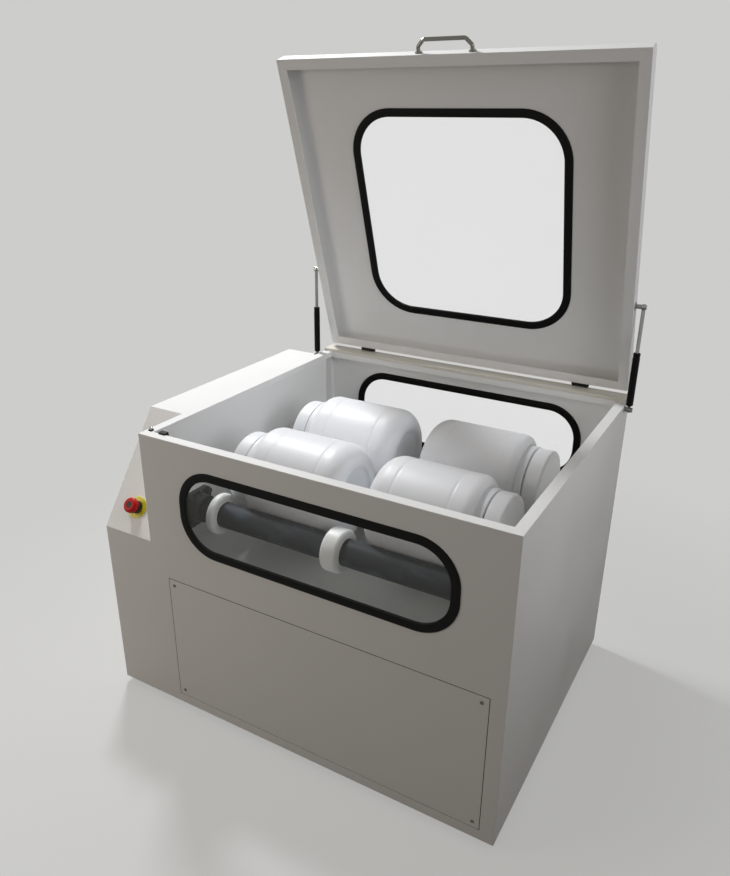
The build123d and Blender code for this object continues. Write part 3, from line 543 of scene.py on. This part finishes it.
class JARMILL_OT_windows(Operator):
    """Rubber profiles and clear panes of the three windows"""

    bl_idname = "jarmill.windows"
    bl_label = "Windows"

    # The sheet that the rubber grips
    sheet = 2 * MM

    def rubber_profile(self, sizes):
        """The rubber's section: two domed faces, and slots for the sheet and the pane.

        A face's height is b + (top - b) sin(t)^0.6 with t from 0 to pi across the width, where b runs
        from the sheet's face to the pane's, less the locking strip's groove exp(-((p - m) / w)^2).
        """
        width, lip, proud = sizes.rubber_width, sizes.rubber_lip, sizes.rubber_proud
        pane_front, pane_back, strip_half = 1.5 * MM, -3.5 * MM, 0.9 * MM
        pane_edge = width - lip
        t = np.linspace(0, math.pi, 29)
        p = width / 2 * (1 - np.cos(t))
        bulge = np.sin(t) ** 0.6
        seat = pane_front * p / width
        groove = sizes.lock_groove * np.exp(-((p - 0.6 * width) / strip_half) ** 2)
        front = np.stack([p, seat + (proud - seat) * bulge - groove], axis=1)
        seat = -self.sheet + (pane_back + self.sheet) * p / width
        deep = -self.sheet - proud
        back = np.stack([p, seat + (deep - seat) * bulge], axis=1)[::-1]
        pane_slot = [(pane_edge, pane_front), (pane_edge, pane_back)]
        sheet_slot = [(lip, -self.sheet), (lip, 0)]
        return np.vstack([front, pane_slot, back, sheet_slot])

    def execute(self, context):
        sizes = settings().windows
        rubber = moulded_rubber("black_epdm_rubber", settings().colours.rubber)
        profile = self.rubber_profile(sizes)
        flat, out = rounded_rectangle(sizes.width, sizes.height, sizes.radius)
        for name, face, normal in (("front", y_front, -1.0), ("rear", y_back, 1.0)):
            low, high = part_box(name + "_window_gasket")
            middle = np.array(((low.x + high.x) / 2, face, (low.z + high.z) / 2))
            grid = carried(middle, np.array((-normal, 0.0, 0.0)), np.array((0.0, normal, 0.0)), flat,
                           out, profile)
            fit(piece_from_grids(name + "_rubber_profile", [grid]), "cabinet", rubber,
                "gasket_rubber", name + "_window_gasket")
        flat, out = rounded_rectangle(sizes.lid_width, sizes.lid_length, sizes.lid_radius)
        low, high = (np.array(corner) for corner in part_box("lid_window_gasket"))
        # The rubber stands as far out of both faces of the lid's sheet.
        middle = (low + high) / 2 + self.sheet / 2 * lid_up
        grid = carried(middle, X_AXIS, lid_up, flat, out, profile)
        fit(piece_from_grids("lid_rubber_profile", [grid]), "lid", rubber, "gasket_rubber",
            "lid_window_gasket")
        acrylic = clear_acrylic("clear_cast_acrylic")
        for node in ("front_window_pane", "rear_window_pane", "lid_window_pane"):
            dress(node, acrylic)
        return {"FINISHED"}


class JARMILL_OT_rollers(Operator):
    """Rollers: covered tubes, collars and shafts"""

    bl_idname = "jarmill.rollers"
    bl_label = "Rollers"

    def execute(self, context):
        colours = settings().colours
        end_width, middle_width, middle_shift = 24.0, 46.0, 6.0
        foot_round, crown_round = 1.5, 9.0
        collar_low, collar_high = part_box("front_roller_collars")
        starts = (collar_low.x, x_mid)
        cover = roller_rubber("ground_roller_rubber", colours.roller, colours.roller_dust, starts,
                              (collar_high.x - collar_low.x) / 2)
        nylon = turned_nylon("white_cast_nylon", colours.nylon)
        steel = machined_metal("turned_shaft_steel", linear("#a9a9a5"), 0.34)
        for name in ("front", "middle", "rear"):
            body = name + "_roller"
            low, high = (np.array(corner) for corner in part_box(body + "_collars"))
            outer = (high[1] - low[1]) / 2 / MM
            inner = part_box(body + "_sleeve")
            core = (inner[1].y - inner[0].y) / 2 / MM
            centre = (low + high) / 2
            middle_start = x_mid + (middle_shift - middle_width / 2) * MM
            grids = []
            for start, width in ((low[0], end_width), (middle_start, middle_width),
                                 (high[0] - end_width * MM, end_width)):
                section = rounded([(0, core), (width, core), (width, outer), (0, outer)],
                                  [foot_round, foot_round, crown_round, crown_round], steps=8)
                grids.append(turned((start, centre[1], centre[2]), X_AXIS, section, closed=True))
            fit(piece_from_grids(name + "_collars", grids), body, nylon, "white_nylon",
                body + "_collars")
            dress(body + "_sleeve", cover)
            dress(body + "_shaft", steel)
        iron = cast_iron_paint("painted_cast_iron", colours.bearing)
        dress("bearing_housings", iron, edge=1.5)
        return {"FINISHED"}


class JARMILL_OT_jars(Operator):
    """Jars and their caps"""

    bl_idname = "jarmill.jars"
    bl_label = "Jars and caps"

    # The neck past the shoulder, and the ring grooves from the bottom and from the shoulder
    neck_length = 57.0
    lower_ring = 67.0
    upper_ring = 58.0

    def jar_section(self, sizes, radius, body):
        """The jar's wall as one closed line, from the middle of its bottom round to its mouth and back.

        The side's radius is R less d exp(-((s - c) / w)^2) for each of the two ring grooves.
        """
        wall, neck_wall, neck_band, neck, band_length = 5.0, 6.0, 104.0, 90.0, 20
        band_end, mouth = body + band_length, body + self.neck_length
        foot_round, top_round = 45.0, 24.0
        dent, dent_radius, dent_edge = 4.0, 66.0, 78.0
        outer_foot = rounded([(dent, 0), (dent, dent_radius), (0, dent_edge), (0, radius),
                              (foot_round + 1, radius)], [0, 8, 6, foot_round, 0], steps=12)[:-1]
        depth, half_width = sizes.groove_depth / MM, 0.6 * sizes.groove_width / MM
        s = np.linspace(foot_round + 1, body - top_round - 1, 130)
        side = np.full_like(s, radius)
        for centre in (self.lower_ring, body - self.upper_ring):
            side -= depth * np.exp(-((s - centre) / half_width) ** 2)
        shoulder = rounded([(body - top_round - 1, radius), (body, radius), (body, neck_band),
                            (band_end, neck_band), (band_end, neck), (mouth, neck),
                            (mouth, neck - neck_wall), (body - wall, neck - neck_wall),
                            (body - wall, radius - wall), (wall + dent, radius - wall),
                            (wall + dent, 0)],
                           [0, top_round, 3, 2.5, 1, 1.5, 1.5, 2, top_round - wall,
                            foot_round - wall, 0], steps=10)[1:]
        return np.vstack([outer_foot, np.stack([s, side], axis=1), shoulder])

    def cap_section(self, start, end, radius, bore):
        """The cap's wall as one closed line, with a rounded outer edge and a raised rim on top."""
        rim_width, rim_slope, sunk, thick = 14, 4, 1.5, 4
        face, inside = end - sunk, end - sunk - thick
        return rounded([(start, bore), (start, radius), (end, radius), (end, radius - rim_width),
                        (face, radius - rim_width - rim_slope), (face, 0), (inside, 0),
                        (inside, bore)], [1, 1.2, 8, 2, 2, 0, 0, 3], steps=8)

    def execute(self, context):
        sizes = settings().jars
        milky = blown_polyethylene("blown_natural_hdpe", settings().colours.jar)
        seam_width, seam_start, seam_radius = 0.006, 30, 100
        cap_bore, rib_start, rib_rise, rib_stop, rib_fall = 90.5, 3, 3, 10, 4

        def seam(s, r, angle):
            """A parting line on either side: -d exp(-(a / w)^2), with a the angle from the line."""
            near = abs(np.sin(angle))
            along = (s > seam_start) & (r > seam_radius)
            return -sizes.seam_depth / MM * np.exp(-(near / seam_width) ** 2) * along

        for row in ("front", "rear"):
            for side, way in (("left", -1.0), ("right", 1.0)):
                body = row + "_" + side + "_jar"
                low, high = (np.array(corner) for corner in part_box(body))
                radius = (high[2] - low[2]) / 2 / MM
                foot = np.array((low[0] if way > 0 else high[0], (low[1] + high[1]) / 2,
                                 (low[2] + high[2]) / 2))
                body_length = (high[0] - low[0]) / MM - self.neck_length
                grid = turned(foot, way * X_AXIS, self.jar_section(sizes, radius, body_length),
                              steps=192, shape=seam)
                fit(piece_from_grids(body + "_moulding", [grid]), body, milky, "jar_plastic", body)
                low, high = (np.array(corner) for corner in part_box(body + "_cap"))
                cap_length = (high[0] - low[0]) / MM
                cap_radius = (high[2] - low[2]) / 2 / MM
                rim = np.array((low[0] if way > 0 else high[0], foot[1], foot[2]))

                def ribs(s, r, angle):
                    """Grip ribs: d (cos(n a) - 1) / 2, fading out towards both ends of the side."""
                    rise = (np.clip((s - rib_start) / rib_rise, 0, 1)
                            * np.clip((cap_length - rib_stop - s) / rib_fall, 0, 1))
                    wave = (np.cos(sizes.grip_count * angle) - 1) / 2
                    return sizes.grip_depth / MM * wave * rise * (r > cap_radius - 1)

                section = self.cap_section(0, cap_length, cap_radius, cap_bore)
                grid = turned(rim, way * X_AXIS, section, steps=504, shape=ribs)
                fit(piece_from_grids(body + "_cap_moulding", [grid]), body + "_cap", milky,
                    "jar_plastic", body + "_cap")
        return {"FINISHED"}


class JARMILL_OT_lid_fittings(Operator):
    """Handle, hinges and studs of the lid"""

    bl_idname = "jarmill.lid_fittings"
    bl_label = "Lid fittings"

    def execute(self, context):
        # The handle's steel is darker than bare polished stainless: painted reflection of a dark room.
        steel_painted_dark = machined_metal("polished_stainless_painted_dark", linear("#77766f"), 0.13)
        zinc = machined_metal("zinc_plated_steel", linear("#8f8f8a"), 0.36)
        black = moulded_plastic("black_zinc_alloy", linear("#0c0c0c"), 0.42, shine=0.25)
        dress("lid_handle", steel_painted_dark)
        dress("handle_screws", zinc, edge=0.4)
        dress("hinge_brackets", black, edge=0.6)
        dress("hinge_leaves", black, edge=0.6)
        dress("lid_studs", zinc)
        return {"FINISHED"}


class JARMILL_OT_gas_struts(Operator):
    """Gas struts: tubes, rods and end fittings"""

    bl_idname = "jarmill.gas_struts"
    bl_label = "Gas struts"

    def execute(self, context):
        black = moulded_plastic("black_nitrided_tube", linear("#040404"), 0.5, shine=0.1)
        chrome = machined_metal("chromed_rod", linear("#9c9c98"), 0.14)
        zinc = machined_metal("zinc_plated_fitting", linear("#7d7d79"), 0.3)
        # The tube: its start, its end, its groove's place and half its flat width, and its radii
        tube_start, tube_end, groove, flat = 12, 162, 151, 1.5
        bore, outer, waist = 5.3, 9.5, 8.9
        # The foot's eye: the hole's radius, the eye's radius and half its width
        pin, eye_radius, eye_half = 4.05, 8, 4
        for side in ("left", "right"):
            low_pin = np.array(joints[side + "_strut_swing"]["pos_m"])
            aim = np.array(joints[side + "_strut_slide"]["axis"], float)
            aim /= np.linalg.norm(aim)
            body = side + "_strut_cylinder"
            tube = rounded([(tube_start, bore), (tube_start, outer), (groove - 2 * flat, outer),
                            (groove - flat, waist), (groove + flat, waist),
                            (groove + 2 * flat, outer), (tube_end, outer), (tube_end, bore)],
                           [0.5, 4, 0.5, 0.7, 0.7, 0.5, 2.5, 0.5], steps=5)
            fit(piece_from_grids(side + "_strut_tube", [turned(low_pin, aim, tube, 64, closed=True)]),
                body, black, "black_steel", body)
            eye = rounded([(-eye_half, pin), (-eye_half, eye_radius), (eye_half, eye_radius),
                           (eye_half, pin)], [0.4, 1.2, 1.2, 0.4], steps=4)
            neck = rounded([(7, 0), (7, 4), (10, 4), (tube_start, 6.5), (15, 6.5), (15, 0)],
                           [0, 0.5, 0.8, 0.8, 0, 0], steps=4)
            fit(piece_from_grids(side + "_strut_foot", [turned(low_pin, X_AXIS, eye, 48, closed=True),
                                                         turned(low_pin, aim, neck, 48)]),
                body, zinc, "screw_steel", body)
        dress("strut_brackets", zinc, edge=0.5)
        for side in ("left", "right"):
            dress(side + "_strut_rod", chrome)
        return {"FINISHED"}


class JARMILL_OT_emergency_stop(Operator):
    """Emergency stop: ring, collar and mushroom head"""

    bl_idname = "jarmill.emergency_stop"
    bl_label = "Emergency stop"

    def execute(self, context):
        colours = settings().colours
        out = -np.array(joints["estop_press"]["axis"], float)
        out /= np.linalg.norm(out)
        low, high = (np.array(corner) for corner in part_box("estop_ring"))
        ring_thick = 2.0
        seat = (low + high) / 2 - ring_thick / 2 * MM * out
        red = moulded_plastic("red_abs", colours.button, 0.42, shine=0.25)
        grey_insert = moulded_plastic("grey_abs_insert", linear("#2b2a20"), 0.5, shine=0.3)
        black = moulded_plastic("black_polyamide", linear("#141413"), 0.45)
        dress("estop_ring", moulded_plastic("yellow_abs", colours.ring, 0.38),
              edge=0.4)
        dress("estop_body", black, edge=0.6)

        # The head's parts: how far they are above the panel, and their radii
        root, lower, dish, top, dot_foot, dot_top = -4, 20, 35.2, 36, 35, 35.7
        stem, radius, dish_edge, dish_radius, dot_radius, flute_depth = 7, 21, 9.5, 8.5, 8.3, 0.9

        def grip(s, r, angle):
            """Twelve shallow finger flutes round the head: -d max(0, cos(12 a))^4."""
            flute = np.clip(np.cos(12 * angle), 0, 1) ** 4
            return -flute_depth * flute * (r > radius - 4) * (s > lower + 1) * (s < top - 4)

        head = rounded([(root, 0), (root, stem), (lower, stem), (lower, radius), (top, radius),
                        (top, dish_edge), (dish, dish_radius), (dish, 0)],
                       [0, 0.5, 1, 2, 8, 1, 0.5, 0], steps=8)
        fit(piece_from_grids("stop_head", [turned(seat, out, head, 144, shape=grip)]), "estop_button",
            red, "red_plastic", "estop_button")
        dot = rounded([(dot_foot, 0), (dot_foot, dot_radius), (dot_top, dot_radius), (dot_top, 0)],
                      [0, 0, 0.5, 0], steps=4)
        fit(piece_from_grids("stop_head_insert", [turned(seat, out, dot, 48)]), "estop_button",
            grey_insert, "grey_plastic", "estop_button")
        return {"FINISHED"}


class JARMILL_OT_small_parts(Operator):
    """Rim pin and block, screws, feet and cable gland"""

    bl_idname = "jarmill.small_parts"
    bl_label = "Small parts"

    def execute(self, context):
        black = moulded_plastic("black_nylon", linear("#0e0e0e"), 0.5, shine=0.25)
        chrome = machined_metal("chromed_pin", linear("#b5b5b2"), 0.14)
        dress("lid_rest", chrome)
        dress("rim_fittings", black, edge=0.8)
        dress("cable_gland", black, edge=0.5)
        zinc = machined_metal("burnished_screw_steel", linear("#6d6b67"), 0.4)
        low, high = (np.array(corner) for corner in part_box("access_panel_screws"))
        radius, head_height = 4.5, 2.4
        grids = [screw_head((x, high[1], z), np.array((0.0, -1.0, 0.0)), radius, head_height)
                 for x in (low[0] + radius * MM, high[0] - radius * MM)
                 for z in (low[2] + radius * MM, high[2] - radius * MM)]
        fit(piece_from_grids("access_screws", grids), "cabinet", zinc, "screw_steel",
            "access_panel_screws")
        foot_low, foot_high = (np.array(corner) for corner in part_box("levelling_feet"))
        pad_radius, pad_edge, pad_height, pad_top = 19.0, 6, 9.5, 12
        stem_start, stem_radius, nut_radius, nut_height = 8, 6, 11, 6
        top = (foot_high[2] - foot_low[2]) / MM
        pads, stems = [], []
        pad = rounded([(0, 0), (0, pad_radius), (pad_edge, pad_radius), (pad_height, pad_top),
                       (pad_height, 0)], [0, 1.2, 2.5, 1.5, 0], steps=5)
        stem = rounded([(stem_start, 0), (stem_start, stem_radius), (top, stem_radius), (top, 0)],
                       [0, 0.5, 0, 0], steps=3)
        nut_start = top - nut_height
        nut = rounded([(nut_start, stem_radius), (nut_start, nut_radius), (top, nut_radius),
                       (top, stem_radius)], [0, 0.8, 0, 0], steps=3)
        for x in (foot_low[0] + pad_radius * MM, foot_high[0] - pad_radius * MM):
            for y in (foot_low[1] + pad_radius * MM, foot_high[1] - pad_radius * MM):
                pads.append(turned((x, y, foot_low[2]), Z_AXIS, pad, 64))
                stems.append(turned((x, y, foot_low[2]), Z_AXIS, stem, 32))
                stems.append(turned((x, y, foot_low[2]), Z_AXIS, nut, 96, closed=True, shape=hexagon))
        rubber = moulded_rubber("foot_rubber", linear("#161615"))
        fit(piece_from_grids("foot_pads", pads), "cabinet", rubber, "black_plastic", "levelling_feet")
        fit(piece_from_grids("foot_stems", stems), "cabinet", zinc, "screw_steel", "levelling_feet")
        return {"FINISHED"}


class JARMILL_OT_drive(Operator):
    """Motor, gearbox, pulleys, belt and control box"""

    bl_idname = "jarmill.drive"
    bl_label = "Drive"

    def execute(self, context):
        cast = machined_metal("cast_aluminium", linear("#a7a8a6"), 0.42)
        motor = powder_coat("motor_enamel", linear("#4f585c"))
        dress("roller_pulley", cast)
        dress("motor_pulley", cast)
        dress("motor_shaft", machined_metal("motor_shaft_steel", linear("#a9a9a5"), 0.34))
        dress("drive_belt", moulded_rubber("belt_rubber", linear("#181817"), 0.7))
        dress("drive_motor", motor)
        dress("gearbox", motor, edge=1.0)
        dress("control_box", moulded_plastic("grey_abs", linear("#747676"), 0.5))
        return {"FINISHED"}


class JARMILL_OT_stage(Operator):
    """Floor, backdrop, lamps and camera"""

    bl_idname = "jarmill.stage"
    bl_label = "Stage"

    def seen_colour(self, tree, look):
        """The backdrop's colour, and 1 where a ray shows it and doesn't light anything.

        The colour is one shade lighter where a clear pane lies in front of it: painted glow of the
        pane.
        """
        path = add(tree, "ShaderNodeLightPath").outputs
        behind = is_over(tree, path["Transparent Depth"], 0.5)
        seen = combined(tree, "MAXIMUM", path["Is Camera Ray"], path["Is Glossy Ray"])
        seen = combined(tree, "MAXIMUM", seen, path["Is Transmission Ray"])
        return blend(tree, behind, look.backdrop, look.pane_glow_backdrop), seen

    def lamp(self, name, place, target, size, power, tone, spread=180):
        """A square lamp that faces a point, with the angle in degrees in which it throws its light."""
        data = bpy.data.lights.new(name, "AREA")
        data.size = size
        data.energy = power
        data.color = linear(tone)
        data.spread = math.radians(spread)
        lamp = bpy.data.objects.new(name, data)
        bpy.context.scene.collection.objects.link(lamp)
        lamp.location = place
        lamp.rotation_euler = (Vector(target) - Vector(place)).to_track_quat("-Z", "Y").to_euler()

    def execute(self, context):
        look = settings().stage
        scene = context.scene
        scene.view_settings.view_transform = "Standard"

        # World: the backdrop for what the eye sees, and a low even light for the rest
        world = bpy.data.worlds.new("studio")
        scene.world = world
        world.use_nodes = True
        tree = world.node_tree
        tree.nodes.clear()
        colour_seen, seen = self.seen_colour(tree, look)
        backdrop = add(tree, "ShaderNodeBackground", {"Strength": 1.0}, {"Color": colour_seen})
        fill = add(tree, "ShaderNodeBackground",
                   {"Color": (*linear("#f3ece4"), 1), "Strength": look.fill})
        both = add(tree, "ShaderNodeMixShader",
                   links={0: seen, 1: fill.outputs[0], 2: backdrop.outputs[0]})
        add(tree, "ShaderNodeOutputWorld", links={"Surface": both.outputs[0]})

        # Floor: lit near the object, where it keeps the shadow, and the backdrop's colour further off
        radius, fade_start, fade_end, least_share = 30.0, 0.7, 2.0, 0.6
        rows = np.array([0.0, 1.0, 3.0, radius])
        angle = np.arange(64) * TURN / 64
        r, a = np.meshgrid(rows, angle, indexing="ij")
        points = np.stack([r * np.cos(a), r * np.sin(a), np.zeros_like(r)], axis=-1)
        floor = piece_from_grids("studio_floor", [(points, False, True)], smooth=False)
        material = bpy.data.materials.new("studio_floor_paint")
        material.use_nodes = True
        tree = material.node_tree
        tree.nodes.clear()
        colour_seen, seen = self.seen_colour(tree, look)
        tone = blend(tree, seen, look.floor_bounce, look.floor)
        lit = add(tree, "ShaderNodeBsdfDiffuse", links={"Color": tone})
        far = add(tree, "ShaderNodeEmission", {"Strength": 1.0}, {"Color": colour_seen})
        place = add(tree, "ShaderNodeTexCoord")
        distance = add(tree, "ShaderNodeVectorMath", {"operation": "LENGTH"},
                       {0: place.outputs["Object"]})
        fade = add(tree, "ShaderNodeMapRange",
                   {"interpolation_type": "SMOOTHSTEP", "From Min": fade_start, "From Max": fade_end,
                    "To Min": least_share}, {"Value": distance.outputs["Value"]})
        amount = combined(tree, "MULTIPLY", fade.outputs[0], seen)
        both = add(tree, "ShaderNodeMixShader", links={0: amount, 1: lit.outputs[0], 2: far.outputs[0]})
        add(tree, "ShaderNodeOutputMaterial", links={"Surface": both.outputs[0]})
        floor.data.materials.append(material)

        # Lamps: one on the ceiling behind on the left, whose light falls past and through the lid, and
        # two wide and dim ones that stand for a room's walls. The right one shines in a narrower cone,
        # so that the cabinet's right side darkens towards the floor.
        middle = (x_mid, 0.0, z_rim)
        self.lamp("ceiling_lamp", (x_left - 1.06, y_front + 1.17, 3.1), middle, 0.4,
                  look.ceiling_power, "#fafcff")
        self.lamp("side_lamp", (2.3, -0.4, 1.8), (x_left, 0.2, 1.15), 1.2, look.side_power, "#f2f4fa",
                  spread=60)
        self.lamp("front_lamp", (-1.9, -2.0, 1.5), (x_left, y_front, 0.6), 1.2, look.front_power,
                  "#fff6ec")

        # Camera: where the photograph was taken from
        camera_data = bpy.data.cameras.new("camera")
        camera = bpy.data.objects.new("camera", camera_data)
        scene.collection.objects.link(camera)
        camera.location = (x_left + 1373.16 * MM, y_front - 1256.14 * MM, z_base + 1551.91 * MM)
        camera.rotation_euler = [math.radians(turn) for turn in (67.28, -0.37, 30.01)]
        camera_data.lens = look.lens
        camera_data.sensor_width = 36
        scene.camera = camera
        return {"FINISHED"}


class JARMILL_PT_panel(Panel):
    """Lists the jar mill's pieces, sizes and colours"""

    bl_label = "Jar Mill"
    bl_idname = "JARMILL_PT_panel"
    bl_space_type = "VIEW_3D"
    bl_region_type = "UI"
    bl_category = "Jar Mill"

    def draw(self, context):
        for operator in OPERATORS:
            self.layout.operator(operator.bl_idname)
        for group in ("colours", "windows", "jars", "stage"):
            box = self.layout.box()
            box.label(text=group.capitalize())
            values = getattr(context.scene.jar_mill, group)
            for key in values.__annotations__:
                box.prop(values, key)


OPERATORS = (
    JARMILL_OT_sheet_metal,
    JARMILL_OT_windows,
    JARMILL_OT_rollers,
    JARMILL_OT_jars,
    JARMILL_OT_lid_fittings,
    JARMILL_OT_gas_struts,
    JARMILL_OT_emergency_stop,
    JARMILL_OT_small_parts,
    JARMILL_OT_drive,
    JARMILL_OT_stage,
)
CLASSES = (MillColours, WindowSizes, JarSizes, StageLook, MillSettings, *OPERATORS, JARMILL_PT_panel)


def register():
    """Adds the classes and the settings to Blender."""
    for entry in CLASSES:
        bpy.utils.register_class(entry)
    bpy.types.Scene.jar_mill = PointerProperty(type=MillSettings)


def unregister():
    """Takes the settings and the classes out of Blender again."""
    del bpy.types.Scene.jar_mill
    for entry in reversed(CLASSES):
        bpy.utils.unregister_class(entry)


def main():
    """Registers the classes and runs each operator."""
    register()
    for operator in OPERATORS:
        group, name = operator.bl_idname.split(".")
        getattr(getattr(bpy.ops, group), name)()


if __name__ == "__main__":
    main()
